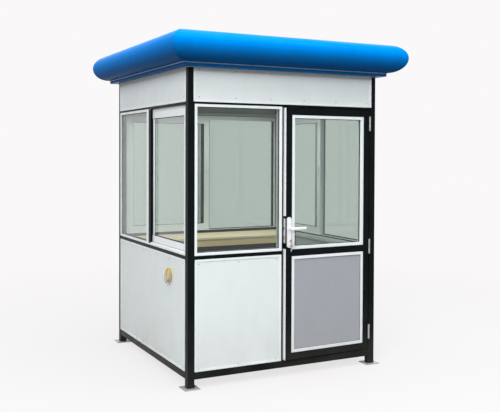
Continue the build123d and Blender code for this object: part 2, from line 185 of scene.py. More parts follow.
def noise(tree, place, scale, detail=3, stretch=(1, 1, 1)):
    """Noise whose grains are 1/scale metres wide, or longer where stretch is under 1."""
    moved = node(tree, "ShaderNodeMapping", {"Vector": place, "Scale": stretch})
    made = node(
        tree,
        "ShaderNodeTexNoise",
        {"Vector": moved.outputs[0], "Scale": scale, "Detail": detail},
    )
    return made.outputs["Fac"]


def ranged(tree, value, low, high, start=0.3, end=0.7):
    """A value between start and end, spread to low and high. Noise is mostly 0.3 to 0.7."""
    return node(
        tree,
        "ShaderNodeMapRange",
        {"Value": value, "From Min": start, "From Max": end, "To Min": low, "To Max": high},
    ).outputs[0]


def blend(tree, factor, first, second):
    """A mix of two colours. Sockets 0, 6 and 7 are the factor and the colours."""
    mixed = node(tree, "ShaderNodeMix", data_type="RGBA")
    for socket, value in ((0, factor), (6, first), (7, second)):
        if isinstance(value, bpy.types.NodeSocket):
            tree.links.new(value, mixed.inputs[socket])
        else:
            mixed.inputs[socket].default_value = value
    return mixed.outputs[2]


def maths(tree, operation, first, second):
    """The result of that operation on two values."""
    made = node(tree, "ShaderNodeMath", {0: first, 1: second}, operation=operation)
    return made.outputs[0]


def relief(tree, height, depth, under=None):
    """A normal that follows a height in 0 to 1, depth metres deep."""
    inputs = {"Height": height, "Distance": depth, "Strength": 1.0}
    if under is not None:
        inputs["Normal"] = under
    return node(tree, "ShaderNodeBump", inputs).outputs[0]


def height_of(tree, place):
    """The Z of a place."""
    return node(tree, "ShaderNodeSeparateXYZ", {0: place}).outputs["Z"]


# ---- light and floor -------------------------------------------------------------------
BACKDROP = linear(250, 248, 249)
FLOOR = (0.7, 0.695, 0.697, 1)  # what the floor would be without the backdrop on it


def sees_backdrop(tree):
    """1 for rays that show the backdrop: sight, also mirrored or through glass."""
    rays = node(tree, "ShaderNodeLightPath").outputs
    mirrored = maths(tree, "MAXIMUM", rays["Is Glossy Ray"], rays["Is Transmission Ray"])
    return maths(tree, "MAXIMUM", rays["Is Camera Ray"], mirrored)


def make_lamp(name, place, target, size, power, hidden=False):
    """A square soft box that faces a point. A hidden one is neither seen nor mirrored."""
    data = bpy.data.lights.new(name, "AREA")
    data.size = size
    data.energy = power
    lamp = link(name, data)
    lamp.location = place
    towards = Vector(target) - Vector(place)
    lamp.rotation_euler = towards.to_track_quat("-Z", "Y").to_euler()
    lamp.visible_camera = lamp.visible_glossy = not hidden


def make_world(horizon, overhead, ground):
    """Soft light, strongest overhead. Sight meets a pale, even backdrop instead."""
    world = bpy.data.worlds.new("studio")
    bpy.context.scene.world = world
    world.use_nodes = True
    tree = world.node_tree
    tree.nodes.clear()
    towards = node(tree, "ShaderNodeTexCoord").outputs["Generated"]
    height = height_of(tree, towards)
    above = ranged(tree, height, 0, 1, -0.05, 0.05)  # a soft step at the horizon
    sky = ranged(tree, height, horizon, overhead, 0.1, 0.9)
    lit = node(tree, "ShaderNodeMix", {0: above, 2: ground, 3: sky})
    light = node(tree, "ShaderNodeBackground", {"Strength": lit.outputs[0]})
    shown = node(tree, "ShaderNodeBackground", {"Color": BACKDROP, "Strength": 1})
    both = node(
        tree,
        "ShaderNodeMixShader",
        {0: sees_backdrop(tree), 1: light.outputs[0], 2: shown.outputs[0]},
    )
    node(tree, "ShaderNodeOutputWorld", {"Surface": both.outputs[0]})


def make_floor(radius, shadow, bounce, level):
    """A pale floor that fades into the backdrop.

    shadow is the share of matt floor, with the booth's shadow, that sight meets, and
    bounce the share that lights the booth. level evens the floor with the backdrop.
    """
    material = bpy.data.materials.new("floor")
    material.use_nodes = True
    tree = material.node_tree
    tree.nodes.clear()
    seen = sees_backdrop(tree)
    bright = maths(tree, "MULTIPLY", seen, level)
    glow = node(tree, "ShaderNodeEmission", {"Color": BACKDROP, "Strength": bright})
    matt = node(tree, "ShaderNodeBsdfDiffuse", {"Color": FLOOR})
    share = ranged(tree, seen, bounce, shadow, 0, 1)
    pale = node(
        tree, "ShaderNodeMixShader", {0: share, 1: glow.outputs[0], 2: matt.outputs[0]}
    )
    place = node(tree, "ShaderNodeTexCoord").outputs["Object"]
    away = node(tree, "ShaderNodeVectorMath", {0: place}, operation="LENGTH")
    fade = node(
        tree,
        "ShaderNodeMapRange",
        {
            "Value": away.outputs["Value"],
            "From Min": 0.35 * radius,
            "From Max": radius,
        },
        interpolation_type="SMOOTHSTEP",
    )
    clear = node(tree, "ShaderNodeBsdfTransparent")
    both = node(
        tree,
        "ShaderNodeMixShader",
        {0: fade.outputs[0], 1: pale.outputs[0], 2: clear.outputs[0]},
    )
    node(tree, "ShaderNodeOutputMaterial", {"Surface": both.outputs[0]})
    shape = bmesh.new()
    bmesh.ops.create_circle(shape, cap_ends=True, segments=64, radius=radius)
    data = bpy.data.meshes.new("floor")
    shape.to_mesh(data)
    shape.free()
    data.materials.append(material)
    floor = link("floor", data)
    floor.location.z = -1 * MM


bpy.context.scene.view_settings.view_transform = "Standard"
make_world(horizon=0.12, overhead=1.75, ground=0.22)
make_lamp("overhead", (0.5, -1.5, 7.0), (0, 0, 2), 5.0, 420)
make_lamp("front", (-5.6, -6.3, 5.5), (0, 0, 1.1), 3.2, 620)
make_lamp("room", (0, 0, 1.91), (0, 0, 0), 1.1, 11.5, hidden=True)
make_floor(6.0, shadow=0.15, bounce=0.35, level=0.93)


# ---- materials -------------------------------------------------------------------------
def new_material(name):
    """An empty material, its tree and the places on the object, in metres."""
    material = bpy.data.materials.new(name)
    material.use_nodes = True
    tree = material.node_tree
    tree.nodes.clear()
    place = node(tree, "ShaderNodeTexCoord").outputs["Object"]
    return material, tree, place


def finish_material(material, tree, inputs):
    """Close a material with a Principled shader."""
    shader = node(tree, "ShaderNodeBsdfPrincipled", inputs)
    node(tree, "ShaderNodeOutputMaterial", {"Surface": shader.outputs[0]})
    return material


def edges(tree, reach):
    """1 on edges and corners, falling to 0 at that distance from them."""
    eased = node(tree, "ShaderNodeBevel", {"Radius": reach}, samples=4).outputs[0]
    flat = node(tree, "ShaderNodeNewGeometry").outputs["Normal"]
    alike = node(tree, "ShaderNodeVectorMath", {0: eased, 1: flat}, operation="DOT_PRODUCT")
    return ranged(tree, alike.outputs["Value"], 1, 0, 0.8, 0.99)


def indoors(tree, place):
    """1 on surfaces inside the walls, and 0 on the walls' outer side."""
    core = HALF - 20 * MM  # between the two skins of a wall panel
    split = node(tree, "ShaderNodeSeparateXYZ", {0: place})
    wide = maths(tree, "ABSOLUTE", split.outputs["X"], 0)
    long = maths(tree, "ABSOLUTE", split.outputs["Y"], 0)
    return maths(tree, "LESS_THAN", maths(tree, "MAXIMUM", wide, long), core)


def painted(
    name, colour, worn, roughness, specular, sheet=0.0, inside=None, edge=None, dusty=0.35
):
    """Paint or powder coat: cloudy gloss, orange peel, dust low down and faint rain marks.

    sheet is the depth of the long waves of a thin metal skin, inside the colour of the
    skin that faces the room, edge the colour of rubbed edges and dusty how thick the dust
    lies at its worst.
    """
    material, tree, place = new_material(name)
    clouds = noise(tree, place, 3, 5)
    smears = noise(tree, place, 11, 6, (1, 1, 0.6))
    rain = noise(tree, place, 40, 4, (1, 1, 0.03))
    now = blend(tree, ranged(tree, smears, 0, 0.35, 0.4, 0.8), colour, worn)
    now = blend(tree, ranged(tree, rain, 0, 0.06, 0.52, 0.8), now, worn)
    if inside:
        now = blend(tree, indoors(tree, place), now, inside)
    if edge:
        uneven = ranged(tree, smears, 0.1, 0.8)
        rubbed = maths(tree, "MULTIPLY", edges(tree, 2 * MM), uneven)
        now = blend(tree, rubbed, now, edge)
    low = ranged(tree, height_of(tree, place), 1, 0, 0, 0.5)
    dust = maths(tree, "MULTIPLY", low, ranged(tree, clouds, 0, dusty))
    normal = relief(tree, noise(tree, place, 420, 2), 0.00005)
    if sheet:
        normal = relief(tree, noise(tree, place, 2.2, 1), sheet, normal)
    return finish_material(
        material,
        tree,
        {
            "Base Color": blend(tree, dust, now, linear(150, 142, 128)),
            "Roughness": ranged(tree, smears, roughness - 0.05, roughness + 0.1),
            "Specular IOR Level": specular,
            "Normal": normal,
        },
    )


def metal(name, colour, worn, roughness, stretch, bare=1.0):
    """Metal with a drawn or brushed grain. bare is under 1 where a lacquer covers it."""
    material, tree, place = new_material(name)
    grain = noise(tree, place, 260, 3, stretch)
    stains = noise(tree, place, 18, 6)
    return finish_material(
        material,
        tree,
        {
            "Base Color": blend(
                tree, ranged(tree, stains, 0, 1, 0.4, 0.75), colour, worn
            ),
            "Metallic": bare,
            "Roughness": ranged(tree, grain, roughness - 0.08, roughness + 0.12),
            "Normal": relief(tree, grain, 0.00004),
        },
    )


def galvanised(name):
    """Hot-dip zinc: angular spangle in greys and a few rust stains."""
    material, tree, place = new_material(name)
    spangle = node(tree, "ShaderNodeTexVoronoi", {"Vector": place, "Scale": 150})
    split = node(tree, "ShaderNodeSeparateColor", {0: spangle.outputs["Color"]})
    stains = noise(tree, place, 30, 7)
    zinc = blend(tree, split.outputs[0], linear(176, 178, 178), linear(194, 196, 195))
    rust = ranged(tree, stains, 0, 0.45, 0.6, 0.75)
    rusty = blend(tree, rust, zinc, linear(120, 82, 56))
    return finish_material(
        material,
        tree,
        {
            "Base Color": rusty,
            "Metallic": ranged(tree, stains, 0.6, 0.2, 0.6, 0.75),
            "Roughness": ranged(tree, split.outputs[1], 0.38, 0.6, 0, 1),
            "Normal": relief(tree, noise(tree, place, 500, 3), 0.00006),
        },
    )


def timber(name, light, dark, along=(0.06, 1, 1), roughness=0.42):
    """Board with grain along the slow axis of along, pores and a satin varnish."""
    material, tree, place = new_material(name)
    bands = noise(tree, place, 9, 4, along)
    fibres = noise(tree, place, 220, 3, along)
    colour = blend(tree, ranged(tree, bands, 0, 1), light, dark)
    colour = blend(tree, ranged(tree, fibres, 0, 0.45, 0.45, 0.8), colour, dark)
    return finish_material(
        material,
        tree,
        {
            "Base Color": colour,
            "Roughness": ranged(tree, fibres, roughness, roughness + 0.15),
            "Normal": relief(tree, fibres, 0.00008),
        },
    )


def plastic(name, colour, worn, roughness, scale=700, depth=0.00003, specular=0.5):
    """Moulded plastic or rubber with a fine grain and a little handling wear."""
    material, tree, place = new_material(name)
    grain = noise(tree, place, scale, 2)
    wear = noise(tree, place, 45, 5)
    return finish_material(
        material,
        tree,
        {
            "Base Color": blend(
                tree, ranged(tree, wear, 0, 0.8, 0.45, 0.8), colour, worn
            ),
            "Roughness": ranged(tree, grain, roughness, roughness + 0.12),
            "Specular IOR Level": specular,
            "Normal": relief(tree, grain, depth),
        },
    )


def cable_sheath(name):
    """Yellow PVC, pure yellow where the turns start and darker and browner further down, with patchy dirt."""
    material, tree, place = new_material(name)
    dirt = noise(tree, place, 130, 5)
    # darker and browner with depth below the gland
    depth = maths(tree, "SUBTRACT", GLAND.z, height_of(tree, place))
    lower = ranged(tree, depth, 0, 0.9, 0, 35 * MM)
    browning = maths(tree, "ADD", lower, ranged(tree, dirt, -0.4, 0.45))
    browning = ranged(tree, browning, 0, 1, 0, 1)
    browned = blend(tree, browning, linear(216, 174, 6), linear(176, 132, 6))
    # dark grey-brown at the feet of the turns and on the tail, 70 to 95 mm below the gland
    turn_feet = ranged(tree, depth, 0, 1, 70 * MM, 95 * MM)
    browned = blend(tree, turn_feet, browned, linear(84, 74, 64))
    return finish_material(
        material,
        tree,
        {
            "Base Color": browned,
            "Roughness": ranged(tree, dirt, 0.36, 0.6),
            "Normal": relief(tree, noise(tree, place, 900, 2), 0.00004),
        },
    )


def moulded_roof(name):
    """Blue gelcoat: slow waves of the moulding, painted shade on its underside and on the deck, and dust on top.
    """
    material, tree, place = new_material(name)
    clouds = noise(tree, place, 5, 6)
    streaks = noise(tree, place, 9, 5, (1, 1, 0.1))
    streaked = ranged(tree, streaks, 0, 1)
    colour = blend(tree, streaked, linear(0, 114, 197), linear(0, 120, 205))
    # painted shade: faces that turn down, and everything below the deck's top, are blended towards a shaded navy
    facing = height_of(tree, node(tree, "ShaderNodeNewGeometry").outputs["Normal"])
    deck = ranged(tree, height_of(tree, place), 0.7, 0, DECK_TOP, DECK_TOP + 1 * MM)
    painted_shade = maths(tree, "MAXIMUM", ranged(tree, facing, 1, 0, -0.95, 0), deck)
    colour = blend(tree, painted_shade, colour, linear(16, 80, 136))
    upward = ranged(tree, facing, 0, 1, 0.75, 1)
    dust = maths(tree, "MULTIPLY", upward, ranged(tree, clouds, 0.03, 0.2))
    normal = relief(tree, noise(tree, place, 4, 2), 0.0012)
    normal = relief(tree, noise(tree, place, 60, 2), 0.00006, normal)
    return finish_material(
        material,
        tree,
        {
            "Base Color": blend(tree, dust, colour, linear(132, 168, 192)),
            "Roughness": ranged(tree, clouds, 0.14, 0.24),
            "Metallic": 0.05,
            "Specular IOR Level": 0.004,
            "Specular Tint": linear(130, 190, 240),
            "Normal": normal,
        },
    )


def clear_glass(name, tint):
    """Float glass: it lets light and sight straight through and mirrors at a slant."""
    material, tree, place = new_material(name)
    film = noise(tree, place, 3, 5)
    through = node(tree, "ShaderNodeBsdfTransparent", {"Color": tint})
    mirror = node(
        tree,
        "ShaderNodeBsdfGlossy",
        {"Color": (1, 1, 1, 1), "Roughness": ranged(tree, film, 0.0, 0.04)},
    )
    facing = node(tree, "ShaderNodeLayerWeight", {"Blend": 0.5}).outputs["Facing"]
    slant = maths(tree, "POWER", facing, 5)
    both = node(
        tree,
        "ShaderNodeMixShader",
        {
            0: ranged(tree, slant, 0.035, 1, 0, 1),
            1: through.outputs[0],
            2: mirror.outputs[0],
        },
    )
    node(tree, "ShaderNodeOutputMaterial", {"Surface": both.outputs[0]})
    return material


DECK_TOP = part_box("roof_deck")[1][2]

MATERIALS = {
    "black_steel": painted(
        "black_steel",
        linear(9, 15, 17),
        linear(22, 27, 28),
        0.3,
        0.05,
        edge=linear(70, 72, 72),
        dusty=0.1,
    ),
    "white_panel": painted(
        "white_panel",
        linear(218, 225, 225),
        linear(208, 214, 214),
        0.36,
        0.07,
        sheet=0.0008,
        inside=linear(180, 188, 184),
    ),
    "grey_panel": painted(
        "grey_panel", linear(157, 161, 167), linear(147, 152, 158), 0.33, 0.3, sheet=0.0006
    ),
    "white_aluminium": painted(
        "white_aluminium",
        linear(226, 232, 234),
        linear(212, 217, 220),
        0.28,
        0.15,
        edge=linear(200, 204, 207),
    ),
    "glass": clear_glass("glass", (0.8, 0.842, 0.82, 1)),
    "galvanised_steel": galvanised("galvanised_steel"),
    "bare_steel": metal(
        "bare_steel", linear(172, 175, 178), linear(146, 148, 149), 0.34, (1, 1, 0.1), 0.6
    ),
    "floor_board": timber("floor_board", linear(104, 100, 94), linear(80, 76, 72)),
    "ceiling_board": painted(
        "ceiling_board", linear(156, 165, 161), linear(142, 150, 147), 0.5, 0.3
    ),
    "roof_blue": moulded_roof("roof_blue"),
    "desk_wood": timber("desk_wood", linear(255, 238, 206), linear(232, 206, 160)),
    "desk_edge": timber("desk_edge", linear(250, 222, 176), linear(226, 192, 144)),
    "edge_strip": plastic("edge_strip", linear(244, 247, 249), linear(226, 229, 231), 0.35),
    "satin_lock": metal(
        "satin_lock", linear(242, 244, 246), linear(226, 229, 232), 0.36, (1, 1, 0.05), 0.25
    ),
    "key_steel": metal(
        "key_steel", linear(172, 168, 162), linear(128, 122, 114), 0.3, (1, 1, 0.2)
    ),
    "gland_plastic": plastic(
        "gland_plastic", linear(186, 190, 190), linear(160, 162, 160), 0.5
    ),
    "yellow_cable": cable_sheath("yellow_cable"),
}
RUBBER = plastic("rubber", linear(17, 19, 19), linear(34, 35, 35), 0.6, specular=0.2)
SEALANT = plastic("sealant", linear(150, 156, 158), linear(116, 118, 114), 0.55)
# pale blue-grey bead under the roof cap: real sealant, and a painted highlight along the cap's shaded lower edge
ROOF_SEALANT_HIGHLIGHT = plastic("roof_sealant_highlight", linear(176, 194, 208), linear(140, 156, 168), 0.45)
PRIMER = painted("primer", linear(198, 204, 201), linear(176, 182, 180), 0.5, 0.3)

for part in frame["record"]["subparts"]:
    solid = nodes[part["node"]]
    solid.data.materials.clear()
    solid.data.materials.append(MATERIALS[part["material_slot"]])
supply_cable.data.materials.append(MATERIALS["yellow_cable"])


# ---- softened edges of the CAD parts ---------------------------------------------------
SOFTENED = {  # rounding of each material's parts, in millimetres
    "black_steel": 1.2,
    "white_aluminium": 0.8,
    "white_panel": 0.6,
    "grey_panel": 0.8,
    "desk_wood": 1.5,
    "desk_edge": 1.5,
    "satin_lock": 0.6,
    "bare_steel": 0.4,
    "edge_strip": 0.4,
}


def soften(solid, rounding):
    """Round the sharp edges of a CAD part a little, so that they catch the light."""
    weld = solid.modifiers.new("weld", "WELD")
    weld.merge_threshold = 0.01 * MM
    bevel = solid.modifiers.new("bevel", "BEVEL")
    bevel.width = rounding * MM
    bevel.segments = 2
    bevel.limit_method = "ANGLE"
    bevel.angle_limit = radians(35)
    bevel.harden_normals = True
    normals = solid.modifiers.new("normals", "WEIGHTED_NORMAL")
    normals.keep_sharp = True


for part in frame["record"]["subparts"]:
    if part["material_slot"] in SOFTENED:
        soften(nodes[part["node"]], SOFTENED[part["material_slot"]])


# ---- building detail pieces ------------------------------------------------------------
def axes(origin, along, out):
    """A matrix whose x runs along a wall, y goes up and z points out of it."""
    along, out = Vector(along), Vector(out)
    turned = Matrix((along, out.cross(along), out)).transposed().to_4x4()
    return Matrix.Translation(origin) @ turned


FRONT = axes((0, -HALF, 0), (1, 0, 0), (0, -1, 0))
WINDOW_WALLS = {
    "left": axes((-HALF, 0, 0), (0, -1, 0), (-1, 0, 0)),
    "right": axes((HALF, 0, 0), (0, 1, 0), (1, 0, 0)),
    "back": axes((0, HALF, 0), (-1, 0, 0), (0, 1, 0)),
}
WALLS = {"front": FRONT, **WINDOW_WALLS}
LEVEL = axes((0, 0, 0), (1, 0, 0), (0, 0, 1))

hinge = Vector(joints["door_hinge"]["pos_m"]) * Vector((1, 1, 0))
ajar = radians(-joints["door_hinge"]["range_deg"][0])
leaf_along = Vector((cos(ajar), sin(ajar), 0))
leaf_out = Vector((sin(ajar), -cos(ajar), 0))
LEAF = axes(
    hinge - leaf_along * hinge.x + leaf_out * (HALF + hinge.y), leaf_along, leaf_out
)

ROOM = HALF - TUBE  # from the middle to the inner side of the frame
MULLION = TUBE / 2  # from the middle of a wall to the side of its mullion
INTERLOCK = MULLION + 19 * MM  # and to the far edge of the sash's interlock profile
SASH_REBATE = 11 * MM  # from the outer face of a sliding sash back to its pane
LET_IN = 0.2 * MM  # how far a seal or a cap goes into the part that carries it


def solids(name, matrix):
    """The low and high corners, on a matrix's axes, of each separate solid of a node."""
    shape = bmesh.new()
    shape.from_mesh(nodes[name].data)
    bmesh.ops.remove_doubles(shape, verts=shape.verts, dist=0.01 * MM)
    inverse = matrix.inverted()
    waiting = set(shape.verts)
    found = []
    while waiting:
        island = [waiting.pop()]
        for vertex in island:
            for edge in vertex.link_edges:
                other = edge.other_vert(vertex)
                if other in waiting:
                    waiting.remove(other)
                    island.append(other)
        spots = [inverse @ vertex.co for vertex in island]
        low = Vector([min(spot[axis] for spot in spots) for axis in range(3)])
        high = Vector([max(spot[axis] for spot in spots) for axis in range(3)])
        found.append((low, high))
    shape.free()
    return sorted(found, key=lambda corners: (round(corners[0].x, 4), corners[0].y))


def make_piece(name, shape, material, body):
    """Turn a mesh under construction into a piece that rides on a body."""
    bmesh.ops.recalc_face_normals(shape, faces=shape.faces)
    for face in shape.faces:
        face.smooth = True
    for edge in shape.edges:
        edge.smooth = len(edge.link_faces) == 2 and edge.calc_face_angle(0) < radians(38)
    data = bpy.data.meshes.new(name)
    shape.to_mesh(data)
    shape.free()
    data.materials.append(material)
    piece = link(name, data)
    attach(piece, body)


def join(shape, rings, closed=False):
    """Skin a row of rings of vertices, with caps, or with its ends joined."""
    following = rings[1:] + rings[:1] if closed else rings[1:]
    for ring, after in zip(rings, following):
        for number in range(len(ring)):
            beside = (number + 1) % len(ring)
            shape.faces.new((ring[number], ring[beside], after[beside], after[number]))
    if not closed:
        shape.faces.new(rings[0][::-1])
        shape.faces.new(rings[-1])


def bar(shape, matrix, low, high, rounding=0.5 * MM):
    """A block between two corners on a matrix's axes, with rounded edges."""
    low, high = Vector(low), Vector(high)
    size = Matrix.Diagonal((*(high - low), 1))
    made = bmesh.ops.create_cube(
        shape, size=1, matrix=matrix @ Matrix.Translation((low + high) / 2) @ size
    )
    sides = {edge for vertex in made["verts"] for edge in vertex.link_edges}
    bmesh.ops.bevel(
        shape, geom=list(sides), offset=rounding, segments=2, profile=0.5, affect="EDGES"
    )


def frame_ring(shape, matrix, box, profile):
    """A mitred frame around a rectangle (x low, x high, y low, y high).

    profile lists the points of its section: how far in from the rectangle and how far out.
    """
    corners = ((0, 2, 1, 1), (1, 2, -1, 1), (1, 3, -1, -1), (0, 3, 1, -1))
    rings = []
    for x, y, right, up in corners:
        ring = []
        for inset, out in profile:
            place = Vector((box[x] + right * inset, box[y] + up * inset, out))
            ring.append(shape.verts.new(matrix @ place))
        rings.append(ring)
    join(shape, rings, closed=True)


def lathe(shape, matrix, profile, steps=16):
    """Turn a profile about the matrix's z axis.

    profile lists radius, height and how deep four lobes cut into that radius.
    """
    rings = []
    for radius, height, lobes in profile:
        ring = []
        for step in range(steps):
            angle = tau * step / steps
            reach = radius * (1 - lobes * sin(2 * angle) ** 2)
            place = Vector((reach * cos(angle), reach * sin(angle), height))
            ring.append(shape.verts.new(matrix @ place))
        rings.append(ring)
    join(shape, rings)


def screw(shape, matrix, x, y, out, radius=4.2 * MM, height=1.8 * MM):
    """A domed screw head with a cross recess."""
    profile = (
        (radius, 0, 0),
        (radius, 0.35 * height, 0),
        (0.86 * radius, 0.78 * height, 0),
        (0.62 * radius, height, 0),
        (0.52 * radius, height, 0.65),
        (0.40 * radius, 0.35 * height, 0.65),
        (0.05 * radius, 0.25 * height, 0),
    )
    lathe(shape, matrix @ Matrix.Translation((x, y, out)), profile)


def sweep(shape, points, radii, steps=8):
    """A tube through points, with a radius for each."""
    rings = []
    for number, (point, radius) in enumerate(zip(points, radii)):
        before = Vector(points[max(number - 1, 0)])
        after = Vector(points[min(number + 1, len(points) - 1)])
        turned = (after - before).to_track_quat("Z", "Y").to_matrix().to_4x4()
        ring = []
        for step in range(steps):
            angle = tau * step / steps
            place = Vector((radius * cos(angle), radius * sin(angle), 0))
            ring.append(shape.verts.new(Vector(point) + turned @ place))
        rings.append(ring)
    join(shape, rings)


def weld_bead(shape, start, end, radius):
    """A rippled bead along a straight joint."""
    start, end = Vector(start), Vector(end)
    count = max(int((end - start).length / (0.9 * radius)), 4)
    points = [start.lerp(end, step / count) for step in range(count + 1)]
    ripple = [radius * (1 - 0.14 * (step % 3) / 2) for step in range(count + 1)]
    ripple[0] = ripple[-1] = 0.45 * radius
    sweep(shape, points, ripple)


def spread(low, high, margin, pitch):
    """Evenly spread places, a margin from low and high and about a pitch apart."""
    length = high - low - 2 * margin
    count = max(round(length / pitch), 1)
    return [low + margin + length / count * number for number in range(count + 1)]


# ---- steel frame -----------------------------------------------------------------------
def make_post_welds():
    """Fillet beads where the posts stand on their base plates."""
    shape = bmesh.new()
    height = solids("base_plates", LEVEL)[0][1].z + 0.6 * MM
    for name in ("front_left", "front_right", "back_left", "back_right"):
        low, high = (Vector(corner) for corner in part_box("post_" + name))
        corners = [(low.x, low.y), (high.x, low.y), (high.x, high.y), (low.x, high.y)]
        for start, end in zip(corners, corners[1:] + corners[:1]):
            weld_bead(shape, (*start, height), (*end, height), 2.6 * MM)
    make_piece("post_welds", shape, MATERIALS["black_steel"], "cabin")


def make_panel_screws():
    """Screws that hold the sheet panels to the rails and posts behind them."""
    shape = bmesh.new()
    for name, wall in WALLS.items():
        for panel in ("fascia_", "lower_panel_"):
            low, high = solids(panel + name, wall)[0]
            for x in spread(low.x, high.x, 30 * MM, 260 * MM):
                for y in (low.y + 19 * MM, high.y - 19 * MM):
                    screw(shape, wall, x, y, high.z)
    make_piece("panel_screws", shape, MATERIALS["bare_steel"], "cabin")


def make_linings():
    """Thin primed covers on the room side of the head rails and the side walls' sills."""
    shape = bmesh.new()
    end = ROOM - 2 * MM
    face, back = -TUBE, -TUBE - 1.5 * MM
    for wall in WALLS.values():
        low, high = solids("head_rails", wall)[0]
        bar(shape, wall, (-end, low.y + 4 * MM, back), (end, high.y - 2 * MM, face))
    to_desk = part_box("desk_top")[0][1] - 4 * MM
    for name, left, right in (("left", -to_desk, end), ("right", -end, to_desk)):
        low, high = solids("sill_rails", WALLS[name])[0]
        bar(
            shape,
            WALLS[name],
            (left, low.y + 2 * MM, back),
            (right, high.y - 8 * MM, face),
        )
    make_piece("rail_linings", shape, PRIMER, "cabin")


def make_desk_bearer():
    """A black steel tube under the desk's front edge, screwed to a cleat on each wall; its black also stands in
    for the shade under the desk.
    """
    shape = bmesh.new()
    apron = Vector(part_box("desk_apron")[0])
    front, top = apron.y + 3 * MM, apron.z - 0.3 * MM
    tall, deep = 45 * MM, 30 * MM
    cleat = ROOM - 5.5 * MM
    bar(
        shape,
        LEVEL,
        (6 * MM - ROOM, front, top - tall),
        (ROOM - 6 * MM, front + deep, top),
        2 * MM,
    )
    for side in (-1, 1):
        near, far = sorted((side * cleat, side * (ROOM - 0.3 * MM)))
        bar(
            shape,
            LEVEL,
            (near, front - 2 * MM, top - 75 * MM),
            (far, front + deep + 6 * MM, top),
        )
        near, far = sorted((side * (ROOM - 45 * MM), side * (ROOM - 3 * MM)))
        bar(
            shape,
            LEVEL,
            (near, front + 4 * MM, top - tall - 5 * MM),
            (far, front + deep - 4 * MM, top - tall + 0.5 * MM),
        )
        inward = axes((0, 0, 0), (0, -side, 0), (-side, 0, 0))
        for beside in (8 * MM, 26 * MM):
            screw(shape, inward, -side * (front + beside), top - 62 * MM, -cleat)
    make_piece("desk_bearer_and_shade", shape, MATERIALS["black_steel"], "cabin")


def make_skirting():
    """A coved strip around the edge of the floor, open at the doorway."""
    shape = bmesh.new()
    floor_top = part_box("floor_panel")[1][2]
    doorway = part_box("door_jamb")[0][0] - 4 * MM
    end = ROOM - 2 * MM
    profile = ((0, 0), (9, 0), (7, 4), (3, 12), (2, 42), (0, 45))
    for name, wall in WALLS.items():
        rings = []
        for x in (-end, doorway if name == "front" else end):
            ring = []
            for back, up in profile:
                place = Vector((x, floor_top + up * MM, -TUBE - back * MM))
                ring.append(shape.verts.new(wall @ place))
            rings.append(ring)
        join(shape, rings)
    make_piece("skirting", shape, PRIMER, "cabin")


make_post_welds()
make_panel_screws()
make_linings()
make_desk_bearer()
make_skirting()


# ---- windows ---------------------------------------------------------------------------
def glazing_seal(shape, matrix, pane, outer, wide=3.5 * MM, tall=3 * MM):
    """A rubber wedge around a pane, on its outer side or on its inner side."""
    low, high = pane
    face, way = (high.z, 1) if outer else (low.z, -1)
    profile = (
        (-LET_IN, face),
        (wide, face + way * LET_IN),
        (0.85 * wide, face + way * 0.6 * tall),
        (0.35 * wide, face + way * tall),
        (-LET_IN, face + way * tall),
    )
    frame_ring(shape, matrix, (low.x, high.x, low.y, high.y), profile)


def reveal_liner(shape, matrix, pane, start, end, thick=1.2 * MM):
    """A thin strip on the inner sides of a pane's frame, between two depths."""
    low, high = pane
    profile = ((-LET_IN, start), (thick, start), (thick, end), (-LET_IN, end))
    frame_ring(shape, matrix, (low.x, high.x, low.y, high.y), profile)


def make_window_seals():
    """Black glazing rubber on both sides of every pane, and in the reveals beside it, where the black is also
    painted shade of the recesses.
    """
    shape = bmesh.new()
    thick = 1.2 * MM
    for name, wall in WALLS.items():
        for pane in solids(name + "_window_glass", wall):
            glazing_seal(shape, wall, pane, outer=True)
            glazing_seal(shape, wall, pane, outer=False)
    for name, wall in WINDOW_WALLS.items():
        # the black reveal liners stand in for the reveals' shade as well as for rubber
        fixed, sliding = solids(name + "_window_glass", wall)
        face = sliding[1].z
        reveal_liner(shape, wall, sliding, face, face + 10 * MM)
        low, high = fixed
        deep, shallow = low.z - 31 * MM, low.z - 5 * MM
        bar(shape, wall, (low.x - LET_IN, low.y, deep), (low.x + thick, high.y, shallow))
        bar(shape, wall, (low.x, low.y - LET_IN, deep), (high.x, low.y + thick, shallow))
        bar(shape, wall, (low.x, high.y - thick, deep), (high.x, high.y + LET_IN, shallow))
    make_piece("window_seals", shape, RUBBER, "cabin")


def make_front_liner():
    """The lining of the front window's frame on its room side."""
    shape = bmesh.new()
    pane = solids("front_window_glass", FRONT)[0]
    face = pane[0].z
    reveal_liner(shape, FRONT, pane, face - 27.5 * MM, face - 3 * MM)
    make_piece("front_window_liner", shape, PRIMER, "cabin")


def make_sash_seals():
    """The brush under each sliding sash and the rubber between its pane and interlock."""
    shape = bmesh.new()
    for name, wall in WINDOW_WALLS.items():
        low, high = solids(name + "_sliding_sash", wall)[0]
        bar(
            shape,
            wall,
            (MULLION + 5 * MM, low.y + 0.5 * MM, high.z - 1 * MM),
            (high.x - 2 * MM, low.y + 4.5 * MM, high.z + 2.4 * MM),
        )
        face = high.z - SASH_REBATE
        low, high = solids(name + "_window_glass", wall)[1]
        bar(
            shape,
            wall,
            (INTERLOCK, low.y, face),
            (INTERLOCK + 3.5 * MM, high.y, face + 3 * MM),
            0.8 * MM,
        )
    make_piece("sash_seals", shape, RUBBER, "cabin")


